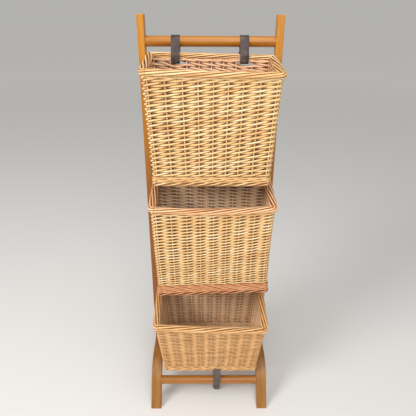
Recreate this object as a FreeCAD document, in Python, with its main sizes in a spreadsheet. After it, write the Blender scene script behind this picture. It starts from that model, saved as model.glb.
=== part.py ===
import FreeCAD, Part
import math
import os
import Sketcher
from FreeCAD import Placement, Rotation, Vector

# Basket stand: two posts on bentwood arch feet, joined by round rungs.
# Three tapered wicker baskets hang from the rungs by buckled leather straps.
# The lowest basket is also tied down to the front foot rung by one more strap.
# Millimetres, +Z up, front towards -Y, origin on the floor midway between the feet.

doc = FreeCAD.newDocument("BasketStand")
sheet = doc.addObject("Spreadsheet::Sheet", "Sizes")

# Driving dimensions of the whole stand
sizes = {
    # wooden frame
    "frame_width": 420.0,
    "post_top_height": 1304.6,
    "post_width": 20.5,
    "post_depth": 34.0,
    "edge_rounding": 2.0,
    "rung_diameter": 30.0,
    "post_tenon_diameter": 18.0,
    "post_tenon_length": 14.0,
    "foot_tenon_diameter": 14.0,
    "foot_tenon_length": 18.0,
    "upper_rung_drop": 72.0,
    "middle_rung_height": 863.7,
    "lower_rung_height": 479.6,
    "foot_width": 36.0,
    "foot_thickness": 24.0,
    "foot_span": 473.0,
    "foot_height": 140.0,
    "foot_leg_run": 142.0,
    "foot_bend_radius": 110.0,
    "foot_rung_height": 81.5,
    # screws that hold the posts on the feet
    "screw_diameter": 5.0,
    "screw_head_diameter": 9.5,
    "screw_head_height": 3.0,
    "screw_length": 58.0,
    "screw_spacing": 17.0,
    "screw_slot_width": 1.2,
    "screw_slot_depth": 1.4,
    # clearances
    "fit_clearance": 0.1,
    "seat_clearance": 0.3,
    "post_gap": 2.0,
    "lean_gap": 0.5,
    "perch_rise": 10.0,
    # wicker sections
    "border_height": 18.0,
    "border_depth": 14.0,
    "border_rounding": 5.0,
    "border_overhang": 2.0,
    "siding_thickness": 7.0,
    "waling_height": 16.0,
    "waling_proud": 1.5,
    "foot_border_height": 12.0,
    "foot_border_depth": 10.0,
    "foot_border_rounding": 4.0,
    "base_thickness": 10.0,
    "rim_corner_radius": 20.0,
    "base_corner_radius": 16.0,
    "course_relief": 2.8,
    # upper basket
    "upper_shift": 3.0,
    "upper_strap_drop": 15.0,
    "upper_rim_setback": 25.0,
    "upper_rim_reach": 201.0,
    "upper_rim_fall": 30.5,
    "upper_base_setback": 37.5,
    "upper_base_reach": 166.5,
    "upper_base_fall": 24.7,
    "upper_course_height": 15.2,
    # middle basket
    "middle_shift": 7.0,
    "middle_strap_drop": 14.2,
    "middle_rim_setback": 26.5,
    "middle_rim_reach": 207.0,
    "middle_rim_fall": 25.0,
    "middle_base_setback": 34.0,
    "middle_base_reach": 181.5,
    "middle_base_fall": 12.6,
    "middle_course_height": 9.4,
    # bottom basket
    "bottom_shift": 4.0,
    "bottom_strap_drop": 40.1,
    "bottom_rim_setback": 23.0,
    "bottom_rim_reach": 214.0,
    "bottom_rim_fall": 47.5,
    "bottom_base_setback": 41.5,
    "bottom_base_reach": 183.0,
    "bottom_base_fall": 59.0,
    "bottom_base_height": 185.0,
    "bottom_base_stand_off": 1.0,
    "bottom_course_height": 7.0,
    # leather straps
    "strap_width": 25.0,
    "strap_thickness": 2.5,
    "strap_spread": 200.0,
    "strap_shift": -2.0,
    "strap_bend_radius": 4.0,
    "strap_slot_drop": 27.0,
    "strap_slot_height": 9.0,
    "strap_slot_width": 60.0,
    "tail_length": 28.0,
    "tie_tail_length": 100.0,
    "loose_tail_swing": 9.0,
    "tail_tip_length": 8.0,
    "hole_diameter": 4.5,
    "hole_spacing": 20.0,
    "tie_shift": 25.0,
    # buckles
    "buckle_wire": 3.0,
    "buckle_length": 24.0,
    "buckle_side_gap": 0.7,
    "buckle_corner_radius": 3.0,
    "buckle_offset": 6.0,
    "prong_wire": 2.4,
    "prong_overhang": 2.5,
    "fold_length": 16.0,
    "fold_bend_radius": 6.0,
    "rivet_diameter": 3.2,
    "rivet_head_diameter": 6.0,
    "rivet_head_height": 0.7,
    "rivet_setback": 12.0,
}


def enter(row, alias, value):
    sheet.set(f"A{row}", alias.replace("_", " "))
    sheet.set(f"B{row}", str(value))
    sheet.setAlias(f"B{row}", alias)


for row, (alias, value) in enumerate(sizes.items(), start=1):
    enter(row, alias, value)
enter(len(sizes) + 1, "upper_rung_height", sizes["post_top_height"] - sizes["upper_rung_drop"])
doc.recompute()


def size(alias):
    return float(getattr(sheet, alias))


def bind(feature, formulas):
    for name, formula in formulas.items():
        feature.setExpression(name, formula)


x_axis = Vector(1, 0, 0)
y_axis = Vector(0, 1, 0)
z_axis = Vector(0, 0, 1)
half_frame = size("frame_width") / 2
rung_radius = size("rung_diameter") / 2
post_inner_face = half_frame - size("post_width")
foot_inner_face = half_frame - size("foot_width")
fit = size("fit_clearance")
seat = size("seat_clearance")


def side_name(side):
    return "left" if side < 0 else "right"


def label(feature, name):
    feature.Label = name
    return feature


def shape_node(name, shape):
    feature = doc.addObject("Part::Feature", name)
    feature.Shape = shape
    feature.Placement = Placement()
    return label(feature, name)


# Strips bent in the YZ plane

# A station is a centre in the YZ plane and a signed radius: plus bends left, minus bends
# right, zero is an end. Consecutive stations are joined by their common tangent line.
def flat(y, z):
    return Vector(0, y, z)


def heading_normal(heading):
    return flat(-math.sin(heading), math.cos(heading))


def tangent_heading(first, second):
    across = second[0] - first[0]
    return math.atan2(across.z, across.y) - math.asin((second[1] - first[1]) / across.Length)


def chain(stations, offset):
    headings = [tangent_heading(a, b) for a, b in zip(stations, stations[1:])]

    def place(index, heading):
        centre, bend = stations[index]
        return centre - heading_normal(heading) * (bend - offset)

    edges = []
    for index, heading in enumerate(headings):
        edges.append(Part.LineSegment(place(index, heading), place(index + 1, heading)).toShape())
        if index + 1 < len(headings):
            bend = stations[index + 1][1]
            turn = (headings[index + 1] - heading) % (2 * math.pi)
            if bend < 0:
                turn -= 2 * math.pi
            stops = [place(index + 1, heading + turn * share) for share in (0, 0.5, 1)]
            edges.append(Part.Arc(*stops).toShape())
    return edges


def strip(stations, left, right, start_x, width):
    one_side = chain(stations, left)
    other_side = chain(stations, -right)
    start_cap = Part.LineSegment(other_side[0].Vertexes[0].Point, one_side[0].Vertexes[0].Point)
    end_cap = Part.LineSegment(one_side[-1].Vertexes[-1].Point, other_side[-1].Vertexes[-1].Point)
    outline = [start_cap.toShape()] + one_side + [end_cap.toShape()] + other_side
    wire = Part.Wire(Part.__sortEdges__(outline))
    wire.translate(x_axis * start_x)
    return Part.Face(wire).extrude(x_axis * width)


# Posts

def plane_of(body, role):
    return [plane for plane in body.Origin.OriginFeatures if plane.Role == role][0]


def sketch_on(body, name, role):
    sketch = body.newObject("Sketcher::SketchObject", name)
    sketch.AttachmentSupport = [(plane_of(body, role), "")]
    sketch.MapMode = "FlatFace"
    return sketch


def add_rule(sketch, kind, items, formula):
    index = sketch.addConstraint(Sketcher.Constraint(kind, *items, 1.0))
    sketch.setExpression(f"Constraints[{index}]", formula)


def add_rectangle(sketch, low_x, high_x, half_y):
    # Formulas give the rectangle's two X places and its half size in Y.
    corners = [Vector(1, -1, 0), Vector(2, -1, 0), Vector(2, 1, 0), Vector(1, 1, 0)]
    for start, stop in zip(corners, corners[1:] + corners[:1]):
        sketch.addGeometry(Part.LineSegment(start, stop))
    for line in range(4):
        sketch.addConstraint(Sketcher.Constraint("Coincident", line, 2, (line + 1) % 4, 1))
    for line, kind in enumerate(("Horizontal", "Vertical", "Horizontal", "Vertical")):
        sketch.addConstraint(Sketcher.Constraint(kind, line))
    add_rule(sketch, "DistanceX", (-1, 1, 0, 1), low_x)
    add_rule(sketch, "DistanceX", (-1, 1, 1, 1), high_x)
    add_rule(sketch, "DistanceY", (-1, 1, 2, 1), half_y)
    add_rule(sketch, "DistanceY", (0, 1, -1, 1), half_y)


def add_circle(sketch, place_x, place_y, radius):
    ring = sketch.addGeometry(Part.Circle(Vector(1, 1, 0), z_axis, 1))
    add_rule(sketch, "DistanceX", (-1, 1, ring, 3), place_x)
    add_rule(sketch, "DistanceY", (-1, 1, ring, 3), place_y)
    add_rule(sketch, "Radius", (ring,), radius)


rung_heights = ("upper_rung_height", "middle_rung_height", "lower_rung_height")


def post(side):
    # A left post is drawn on the right and turned half round, as the maker would.
    body = doc.addObject("PartDesign::Body", side_name(side) + "_post_body")
    section = sketch_on(body, "section", "XY_Plane")
    add_rectangle(section, "Sizes.frame_width / 2 - Sizes.post_width", "Sizes.frame_width / 2",
                  "Sizes.post_depth / 2")
    section.setExpression(".AttachmentOffset.Base.z", "Sizes.foot_height")
    pad = body.newObject("PartDesign::Pad", "length")
    pad.Profile = section
    bind(pad, {"Length": "Sizes.post_top_height - Sizes.foot_height"})
    doc.recompute()
    rounding = body.newObject("PartDesign::Fillet", "rounding")
    bottom = size("foot_height")
    names = [f"Edge{number}" for number, edge in enumerate(pad.Shape.Edges, start=1)
             if edge.CenterOfMass.z > bottom + seat]
    rounding.Base = (pad, names)
    bind(rounding, {"Radius": "Sizes.edge_rounding"})
    doc.recompute()
    sockets = sketch_on(body, "sockets", "YZ_Plane")
    for height in rung_heights:
        add_circle(sockets, "0 * Sizes.post_depth", f"Sizes.{height}",
                   "Sizes.post_tenon_diameter / 2 + Sizes.fit_clearance")
    sockets.setExpression(".AttachmentOffset.Base.z", "Sizes.frame_width / 2 - Sizes.post_width")
    socket_cut = body.newObject("PartDesign::Pocket", "socket_cut")
    socket_cut.Profile = sockets
    socket_cut.Reversed = True
    bind(socket_cut, {"Length": "Sizes.post_tenon_length + Sizes.seat_clearance"})
    pilots = sketch_on(body, "pilots", "XY_Plane")
    for sign in ("", "-"):
        add_circle(pilots, "Sizes.frame_width / 2 - Sizes.post_width / 2",
                   f"{sign}Sizes.screw_spacing / 2", "Sizes.screw_diameter / 2 + Sizes.fit_clearance")
    pilots.setExpression(".AttachmentOffset.Base.z", "Sizes.foot_height")
    pilot_cut = body.newObject("PartDesign::Pocket", "pilot_cut")
    pilot_cut.Profile = pilots
    pilot_cut.Reversed = True
    bind(pilot_cut, {"Length": "Sizes.screw_length - Sizes.foot_thickness + Sizes.seat_clearance"})
    doc.recompute()
    cut_away = rounding.Shape.Volume - body.Shape.Volume
    if cut_away < socket_cut.Length.Value * len(rung_heights):
        raise RuntimeError("the post's sockets cut nothing")
    if side < 0:
        body.Placement = Placement(Vector(), Rotation(z_axis, 180))
    return label(body, side_name(side) + "_post")


# Rungs with turned tenons

def rung(name, tenon, inner_face, place_y, place_z):
    # Formulas give the inner face that the shoulder meets and the rung's centre.
    def bar(part, diameter, half_length):
        cylinder = doc.addObject("Part::Cylinder", name + part)
        turn = Rotation(y_axis, 90)
        cylinder.Placement = Placement(Vector(), turn)
        bind(cylinder, {"Radius": diameter, "Height": f"2 * ({half_length})",
                        "Placement.Base.x": f"-({half_length})",
                        "Placement.Base.y": place_y, "Placement.Base.z": place_z})
        return cylinder

    body = bar("_body", "Sizes.rung_diameter / 2", inner_face)
    core = bar("_core", f"Sizes.{tenon}_diameter / 2", f"{inner_face} + Sizes.{tenon}_length")
    whole = doc.addObject("Part::MultiFuse", name)
    whole.Shapes = [body, core]
    return label(whole, name)


# Bentwood arch feet

foot_bend = size("foot_bend_radius")
foot_drop = size("foot_height") - foot_bend
half_crown = size("foot_span") / 2 - size("foot_leg_run")
foot_stations = [(flat(-size("foot_span") / 2, 0), 0),
                 (flat(-half_crown, foot_drop), -foot_bend),
                 (flat(half_crown, foot_drop), -foot_bend),
                 (flat(size("foot_span") / 2, 0), 0)]
leg_heading = tangent_heading(*foot_stations[:2])
# How far the middle of a leg stands in from the leg's outer line, and where it is at the rung
leg_half_run = size("foot_thickness") / 2 / math.sin(leg_heading)
foot_rung_y = (size("foot_span") / 2 - leg_half_run
               - size("foot_rung_height") / math.tan(leg_heading))


def cylinder_x(start_x, length, radius, y, z):
    return Part.makeCylinder(radius, length, Vector(start_x, y, z), x_axis)


def foot(side):
    thickness = size("foot_thickness")
    along = flat(math.cos(leg_heading), math.sin(leg_heading)) * thickness
    against = flat(-along.y, along.z)
    stations = [(foot_stations[0][0] - along, 0)] + foot_stations[1:3]
    stations.append((foot_stations[3][0] - against, 0))
    start_x = foot_inner_face if side > 0 else -half_frame
    arch = strip(stations, 0, thickness, start_x, size("foot_width"))
    span = size("foot_span") * 2
    ground = Part.makeBox(size("foot_width"), span, thickness * 2,
                          Vector(start_x, -span / 2, -thickness * 2))
    arch = arch.cut(ground)
    tenon = size("foot_tenon_diameter") / 2 + fit
    depth = size("foot_tenon_length") + seat
    socket_x = foot_inner_face if side > 0 else -foot_inner_face - depth
    for end in (-1, 1):
        arch = arch.cut(cylinder_x(socket_x, depth, tenon, end * foot_rung_y,
                                   size("foot_rung_height")))
    for x, y in screw_places(side):
        arch = arch.cut(screw_blank(x, y, fit))
    edges = [edge for edge in arch.Edges if long_corner(edge)]
    return shape_node(side_name(side) + "_foot", arch.makeFillet(size("edge_rounding"), edges))


def long_corner(edge):
    # The strip's long corners run along the bend; floor cuts, sockets and bores stay sharp.
    box = edge.BoundBox
    return box.XLength < fit and len(edge.Vertexes) == 2 and edge.Length > size("foot_width")


def screw_places(side):
    x = side * (half_frame - size("post_width") / 2)
    return [(x, end * size("screw_spacing") / 2) for end in (-1, 1)]


def screw_blank(x, y, gap):
    start = Vector(x, y, size("foot_height") - size("foot_thickness"))
    head = Part.makeCone(size("screw_head_diameter") / 2 + gap, size("screw_diameter") / 2 + gap,
                         size("screw_head_height"), start, z_axis)
    shank = Part.makeCylinder(size("screw_diameter") / 2 + gap, size("screw_length"), start, z_axis)
    return head.fuse(shank)


def screw(x, y):
    blank = screw_blank(x, y, 0)
    reach = size("screw_head_diameter")
    slot = Part.makeBox(reach, size("screw_slot_width"), size("screw_slot_depth"),
                        Vector(x - reach / 2, y - size("screw_slot_width") / 2,
                               size("foot_height") - size("foot_thickness")))
    return blank.cut(slot)


# Tilted planes that the baskets are laid out on

class Level:
    # A plane across a basket: u to the right, v forwards and down its fall, w square to it.
    def __init__(self, back, reach, fall):
        self.back = back
        self.length = math.hypot(reach, fall)
        self.forward = flat(-reach, -fall) / self.length
        self.up = flat(-fall, reach) / self.length

    def point(self, u, v, w):
        return self.back + x_axis * u + self.forward * v + self.up * w

    def local(self, point):
        gap = point - self.back
        return gap.dot(self.forward), gap.dot(self.up)


def outline(level, half_width, back, front, w, radius):
    # A rectangle with rounded corners, starting in the middle of its back edge.
    def at(u, v):
        return level.point(u, v, w)

    bow = radius * (1 - math.sqrt(0.5))
    places = [at(0, back), at(half_width - radius, back)]
    arcs = [(at(half_width - bow, back + bow), at(half_width, back + radius)),
            (at(half_width - bow, front - bow), at(half_width - radius, front)),
            (at(bow - half_width, front - bow), at(-half_width, front - radius)),
            (at(bow - half_width, back + bow), at(radius - half_width, back))]
    starts = [at(half_width - radius, back), at(half_width, front - radius),
              at(radius - half_width, front), at(-half_width, back + radius)]
    edges = [Part.LineSegment(*places).toShape()]
    for index, (middle, stop) in enumerate(arcs):
        edges.append(Part.Arc(starts[index], middle, stop).toShape())
        target = starts[index + 1] if index < 3 else places[0]
        edges.append(Part.LineSegment(stop, target).toShape())
    return Part.Wire(edges)


def rounded_section(centre, across, upwards, width, height, radius):
    # A rounded rectangle in the plane of across and upwards.
    def at(a, b):
        return centre + across * a + upwards * b

    half_a, half_b = width / 2, height / 2
    bow = radius * (1 - math.sqrt(0.5))
    edges = []
    for sign_a, sign_b in ((1, 1), (-1, 1), (-1, -1), (1, -1)):
        first = at(sign_a * half_a, sign_b * (half_b - radius))
        middle = at(sign_a * (half_a - bow), sign_b * (half_b - bow))
        last = at(sign_a * (half_a - radius), sign_b * half_b)
        if sign_a != sign_b:
            first, last = last, first
        edges.append((first, middle, last))
    pieces = []
    for index, (first, middle, last) in enumerate(edges):
        pieces.append(Part.Arc(first, middle, last).toShape())
        pieces.append(Part.LineSegment(last, edges[(index + 1) % 4][0]).toShape())
    return Part.Wire(pieces)


def ring(level, half_width, front, middle_w, width, height, rounding, corner):
    # A band of rounded section round the outline; half_width and front are its outer faces.
    inset = width / 2
    path = outline(level, half_width - inset, inset, front - inset, middle_w, corner - inset)
    section = rounded_section(level.point(0, inset, middle_w), level.forward, level.up,
                              width, height, rounding)
    return path.makePipeShell([section], True, False)


def tube(lower, upper, lower_inner, upper_inner):
    outer = Part.makeLoft([lower, upper], True, True)
    return outer.cut(Part.makeLoft([lower_inner, upper_inner], True, True))


# Baskets

post_front = -size("post_depth") / 2
border_height = size("border_height")
foot_border_height = size("foot_border_height")


class Basket:
    def __init__(self, name, rung_height, below_height):
        self.name = name
        self.rung_height = rung_height
        self.shift = size(name + "_shift")
        drop = rung_radius + size(name + "_strap_drop")
        rim_back = Vector(self.shift, post_front - size("post_gap"), rung_height - drop)
        if below_height is None:
            base_back = Vector(self.shift, size("bottom_base_stand_off"), size("bottom_base_height"))
        else:
            base_back = Vector(self.shift, -rung_radius - size("lean_gap"),
                               below_height + size("perch_rise"))
        self.rim = Level(rim_back, size(name + "_rim_reach"), size(name + "_rim_fall"))
        self.base = Level(base_back, size(name + "_base_reach"), size(name + "_base_fall"))
        self.rim_half = half_frame - size(name + "_rim_setback")
        self.base_half = half_frame - size(name + "_base_setback")
        self.course_height = size(name + "_course_height")
        # how the outline grows with height above the base
        back_v, height = self.base.local(self.rim.point(0, 0, 0))
        front_v, front_height = self.base.local(self.rim.point(0, self.rim.length, 0))
        self.back_growth = back_v / height
        self.front_growth = (front_v - self.base.length) / front_height
        self.side_growth = (self.rim_half - self.base_half) / ((height + front_height) / 2)

    def base_outline(self, w, inset):
        grow = w - foot_border_height
        return outline(self.base, self.base_half + self.side_growth * grow - inset,
                       self.back_growth * grow + inset,
                       self.base.length + self.front_growth * grow - inset,
                       w, size("base_corner_radius") - inset)

    def rim_outline(self, w, inset):
        return outline(self.rim, self.rim_half - inset, inset, self.rim.length - inset, w,
                       size("rim_corner_radius") - inset)

    def border(self):
        return ring(self.rim, self.rim_half, self.rim.length, -border_height / 2,
                    size("border_depth"), border_height, size("border_rounding"),
                    size("rim_corner_radius"))

    def foot_border(self):
        return ring(self.base, self.base_half, self.base.length, foot_border_height / 2,
                    size("foot_border_depth"), foot_border_height, size("foot_border_rounding"),
                    size("base_corner_radius"))

    def floor(self):
        inset = size("foot_border_depth") + seat
        corner = size("base_corner_radius") - inset
        low = outline(self.base, self.base_half - inset, inset, self.base.length - inset,
                      foot_border_height - size("base_thickness"), corner)
        return Part.Face(low).extrude(self.base.up * size("base_thickness"))

    def waling(self):
        low = foot_border_height
        high = low + size("waling_height")
        wall = size("siding_thickness") + size("waling_proud")
        return tube(self.base_outline(low, 0), self.base_outline(high, 0),
                    self.base_outline(low, wall), self.base_outline(high, wall))

    def course_line(self, share, inset):
        # the wall's outer line part of the way up from the waling to the border
        low, high = foot_border_height + size("waling_height"), -border_height
        proud, over = size("waling_proud"), size("border_overhang")
        grow = low - foot_border_height

        def between(first, last):
            return first + (last - first) * share

        back = between(self.base.point(0, self.back_growth * grow + proud, low),
                       self.rim.point(0, over, high))
        front = between(self.base.point(0, self.base.length + self.front_growth * grow - proud,
                                        low),
                        self.rim.point(0, self.rim.length - over, high))
        half = between(self.base_half + self.side_growth * grow - proud, self.rim_half - over)
        corner = between(size("base_corner_radius") - proud, size("rim_corner_radius") - over)
        level = Level(back, back.y - front.y, back.z - front.z)
        return outline(level, half - inset, inset, level.length - inset, 0, corner - inset)

    def siding(self):
        # woven rows stand out as ribs on the outer face, and the inner face is plain
        low = foot_border_height + size("waling_height")
        proud = size("waling_proud")
        over = size("border_overhang")
        wall = size("siding_thickness")
        back_bottom = self.base.point(0, self.back_growth * (low - foot_border_height), low)
        back_top = self.rim.point(0, 0, -border_height)
        courses = round((back_top - back_bottom).Length / self.course_height)
        lines = [self.course_line(step / (2 * courses), size("course_relief") * (step % 2))
                 for step in range(2 * courses + 1)]
        shell = Part.makeLoft(lines, True, True)
        shell = shell.cut(Part.makeLoft([self.base_outline(low, proud + wall),
                                         self.rim_outline(-border_height, over + wall)],
                                        True, True))
        for x in strap_places:
            shell = shell.cut(self.strap_slot(x))
        return shell

    def strap_slot(self, x):
        # an open row in the back wall, wide enough to pass a strap and fingers through
        width = size("strap_slot_width")
        height = size("strap_slot_height")
        corner = self.rim.point(x - self.shift - width / 2, -border_height,
                                -size("strap_slot_drop") - height / 2)
        box = Part.makeBox(width, border_height * 2 + size("siding_thickness"), height)
        turn = Rotation(x_axis, self.rim.forward * -1, self.rim.up, "ZXY")
        box = box.mirror(Vector(), y_axis)
        box.Placement = Placement(corner, turn)
        return box


strap_places = [side * size("strap_spread") / 2 + size("strap_shift") for side in (-1, 1)]

# Straps and buckles

strap_half = size("strap_thickness") / 2
wire = size("buckle_wire") / 2
prong_wire = size("prong_wire") / 2
heel_fold = wire + seat + strap_half
bar_height = strap_half + seat + wire
tail_rise = bar_height + heel_fold + strap_half + fit * 2 + strap_half
prong_height = bar_height + wire + fit + prong_wire
prong_roll_angle = 265


class Loop:
    # A strap buckled round a rung (turn -1 hangs from it, turn 1 pulls down to it).
    def __init__(self, rung_centre, far_stations, turn):
        self.turn = turn
        rung_bend = rung_radius + seat + strap_half
        self.wrap = (rung_centre, turn * rung_bend)
        self.far = [(centre, turn * radius) for centre, radius in far_stations]
        heading = tangent_heading(self.wrap, self.far[0])
        normal = heading_normal(heading)
        self.start = self.far[0][0] - normal * self.far[0][1]
        self.along = flat(-math.cos(heading), -math.sin(heading))
        self.out = normal * -turn
        self.front_bar = size("buckle_offset")
        self.heel = self.front_bar + size("buckle_length")
        self.fold_end = self.heel + size("fold_length")

    def at(self, run, rise, x=0):
        # run climbs from the far end towards the rung, rise stands out from the rear run
        return self.start + self.along * run + self.out * rise + x_axis * x

    def stations(self):
        turn = self.turn
        dip = size("strap_bend_radius") + strap_half
        dip_run = self.front_bar + size("strap_bend_radius")
        fold_rise = 2 * strap_half + fit + size("fold_bend_radius")
        fold_run = self.heel + size("fold_length") / 2
        heel_centre = self.at(self.heel, bar_height)
        return [(self.at(self.heel + size("strap_bend_radius"), tail_rise), 0),
                (heel_centre, turn * (tail_rise - bar_height)),
                (self.at(dip_run, dip), -turn * dip),
                *self.far,
                self.wrap,
                (heel_centre, -turn * heel_fold),
                (self.at(fold_run, fold_rise), turn * size("fold_bend_radius")),
                (self.at(self.fold_end, 2 * strap_half + fit), 0)]

    def block(self, runs, rises, width, x):
        # a box in the strap's own directions, centred on x
        corners = [self.at(run, rise, x - width / 2) for run, rise in
                   ((runs[0], rises[0]), (runs[1], rises[0]), (runs[1], rises[1]),
                    (runs[0], rises[1]))]
        return Part.Face(Part.makePolygon(corners + corners[:1])).extrude(x_axis * width)

    def strap(self, x, tail_length, swing):
        width = size("strap_width")
        leather = strip(self.stations(), strap_half, strap_half, x - width / 2, width)
        leather = leather.fuse(self.tail(x, tail_length, swing))
        slot = size("prong_wire") + 4 * seat
        heel_reach = wire + 2 * prong_wire + 3 * seat
        leather = leather.cut(self.block((self.heel - heel_reach, self.heel + heel_reach),
                                         (-strap_half - seat, bar_height + heel_fold + strap_half),
                                         slot, x))
        crossing = (self.front_bar + heel_fold * 2 + strap_half * 4,
                    self.heel - strap_half)
        leather = leather.cut(self.block(crossing, (strap_half + seat, tail_rise + strap_half / 2),
                                         slot, x))
        rivet_run = self.heel + size("rivet_setback")
        bore = Part.makeCylinder(size("rivet_diameter") / 2 + fit, strap_half * 6,
                                 self.at(rivet_run, -strap_half * 2, x), self.out)
        return leather.cut(bore).removeSplitter()

    def tail(self, x, tail_length, swing):
        # The free end: a flat tongue that can be swung sideways about its start. One that
        # points down hangs plumb.
        half = size("strap_width") / 2
        tip = size("tail_tip_length")
        pivot = self.at(self.heel + size("strap_bend_radius"), tail_rise - strap_half, x)
        end = tail_length - size("strap_bend_radius")

        def local(u, v):
            return x_axis * u + self.along * v

        edges = [Part.LineSegment(local(half, 0), local(half, end - tip)).toShape(),
                 Part.Arc(local(half, end - tip), local(0, end), local(-half, end - tip)).toShape(),
                 Part.LineSegment(local(-half, end - tip), local(-half, 0)).toShape(),
                 Part.Arc(local(-half, 0), local(0, -half / 4), local(half, 0)).toShape()]
        tongue = Part.Face(Part.Wire(edges)).extrude(self.out * 2 * strap_half)
        place = end - tip
        while place > tip:
            tongue = tongue.cut(Part.makeCylinder(size("hole_diameter") / 2, 2 * strap_half,
                                                  local(0, place), self.out))
            place -= size("hole_spacing")
        angle = math.degrees(math.asin(swing / tail_length))
        tongue.rotate(Vector(), self.out, angle)
        if self.along.z < 0:
            lean = math.degrees(math.atan2(self.along.y, -self.along.z))
            tongue.rotate(Vector(), x_axis, -lean)
        tongue.translate(pivot)
        return tongue

    def frame(self, x):
        # a loop of round wire with rounded corners
        half = size("strap_width") / 2 + size("buckle_side_gap") + wire
        radius = size("buckle_corner_radius")
        bow = radius * (1 - math.sqrt(0.5))
        low, high = self.front_bar, self.heel

        def at(u, run):
            return self.at(run, bar_height, x + u)

        corners = [((half - radius, low), (half - bow, low + bow), (half, low + radius)),
                   ((half, high - radius), (half - bow, high - bow), (half - radius, high)),
                   ((radius - half, high), (bow - half, high - bow), (-half, high - radius)),
                   ((-half, low + radius), (bow - half, low + bow), (radius - half, low))]
        edges = [Part.LineSegment(at(0, low), at(*corners[0][0])).toShape()]
        for index, corner in enumerate(corners):
            edges.append(Part.Arc(*[at(*place) for place in corner]).toShape())
            target = at(*corners[index + 1][0]) if index < 3 else at(0, low)
            edges.append(Part.LineSegment(at(*corner[2]), target).toShape())
        section = Part.Wire(Part.makeCircle(wire, at(0, low), x_axis))
        return Part.Wire(edges).makePipeShell([section], True, False)

    def prong(self, x):
        # a straight pin that rests on the front bar, its other end rolled round the heel bar
        eye_radius = wire + fit + prong_wire
        reach = size("buckle_length") + size("prong_overhang")
        tip = self.at(self.heel - reach, prong_height, x)

        def rolled(angle):
            return self.at(self.heel + eye_radius * math.sin(angle),
                           bar_height + eye_radius * math.cos(angle), x)

        roll = math.radians(prong_roll_angle)
        path = Part.Wire([Part.LineSegment(tip, rolled(0)).toShape(),
                          Part.Arc(rolled(0), rolled(roll / 2), rolled(roll)).toShape()])
        section = Part.Wire(Part.makeCircle(prong_wire, tip, self.along))
        pin = path.makePipeShell([section], True, False)
        rim = [edge for edge in pin.Edges if (edge.CenterOfMass - tip).Length < prong_wire / 2]
        return pin.makeFillet(prong_wire / 2, rim)

    def rivet(self, x):
        run = self.heel + size("rivet_setback")
        head = size("rivet_head_diameter") / 2
        top = 3 * strap_half + fit
        parts = [(size("rivet_diameter") / 2, -strap_half, top),
                 (head, -strap_half - size("rivet_head_height"), -strap_half),
                 (head, top, top + size("rivet_head_height"))]
        solids = [Part.makeCylinder(radius, high - low, self.at(run, low, x), self.out)
                  for radius, low, high in parts]
        return solids[0].multiFuse(solids[1:])


def hanging_loop(basket):
    # The strap passes through the open row, over the basket's border and round the rung.
    bend = size("strap_bend_radius")
    corner = size("border_rounding")
    rim = basket.rim
    border_bend = corner + size("lean_gap") + strap_half
    border_centre = rim.point(0, size("border_depth") - corner, -corner)
    siding_back = rim.point(0, size("border_overhang"), -size("strap_slot_drop"))
    siding_front = rim.point(0, size("border_overhang") + size("siding_thickness"),
                             -size("strap_slot_drop"))
    rear = flat(siding_back.y + size("post_gap"), siding_back.z + bend)
    front = flat(border_centre.y - border_bend + bend, siding_front.z + bend)
    far = [(rear, bend), (front, bend), (flat(border_centre.y, border_centre.z), border_bend)]
    return Loop(flat(0, basket.rung_height), far, -1)


def tie_loop(basket):
    # The tie strap wraps the foot border at the front of the lowest basket.
    middle = basket.base.point(0, basket.base.length - size("foot_border_depth") / 2,
                               foot_border_height / 2)
    spread = math.hypot(size("foot_border_depth") / 2 - size("foot_border_rounding"),
                        foot_border_height / 2 - size("foot_border_rounding"))
    bend = spread + size("foot_border_rounding") + seat + strap_half
    far = [(flat(middle.y, middle.z), bend)]
    return Loop(flat(-foot_rung_y, size("foot_rung_height")), far, 1)


def tie_clearance(loop, x):
    # the space that the tie strap and its buckle need where they pass the foot border
    centre, bend = loop.far[0]
    width = size("strap_width") + 2 * (size("buckle_side_gap") + size("buckle_wire") + seat)
    turn_room = Part.makeCylinder(abs(bend) + strap_half + seat, width,
                                  centre + x_axis * (x - width / 2), x_axis)
    buckle_room = loop.block((-bend, loop.heel), (-bend, prong_height + prong_wire + seat), width, x)
    return turn_room, buckle_room


# Assembly

nodes = []
for side in (-1, 1):
    nodes += [post(side), foot(side)]
post_face = "Sizes.frame_width / 2 - Sizes.post_width"
foot_face = "Sizes.frame_width / 2 - Sizes.foot_width"
for name in ("upper", "middle", "lower"):
    nodes.append(rung(name + "_rung", "post_tenon", post_face, "0 * Sizes.post_depth",
                      f"Sizes.{name}_rung_height"))
enter(len(sizes) + 2, "foot_rung_place", foot_rung_y)
doc.recompute()
nodes.append(rung("front_foot_rung", "foot_tenon", foot_face, "-Sizes.foot_rung_place",
                  "Sizes.foot_rung_height"))
nodes.append(rung("rear_foot_rung", "foot_tenon", foot_face, "Sizes.foot_rung_place",
                  "Sizes.foot_rung_height"))
screws = [screw(x, y) for side in (-1, 1) for x, y in screw_places(side)]
nodes.append(shape_node("foot_screws", Part.makeCompound(screws)))

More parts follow.
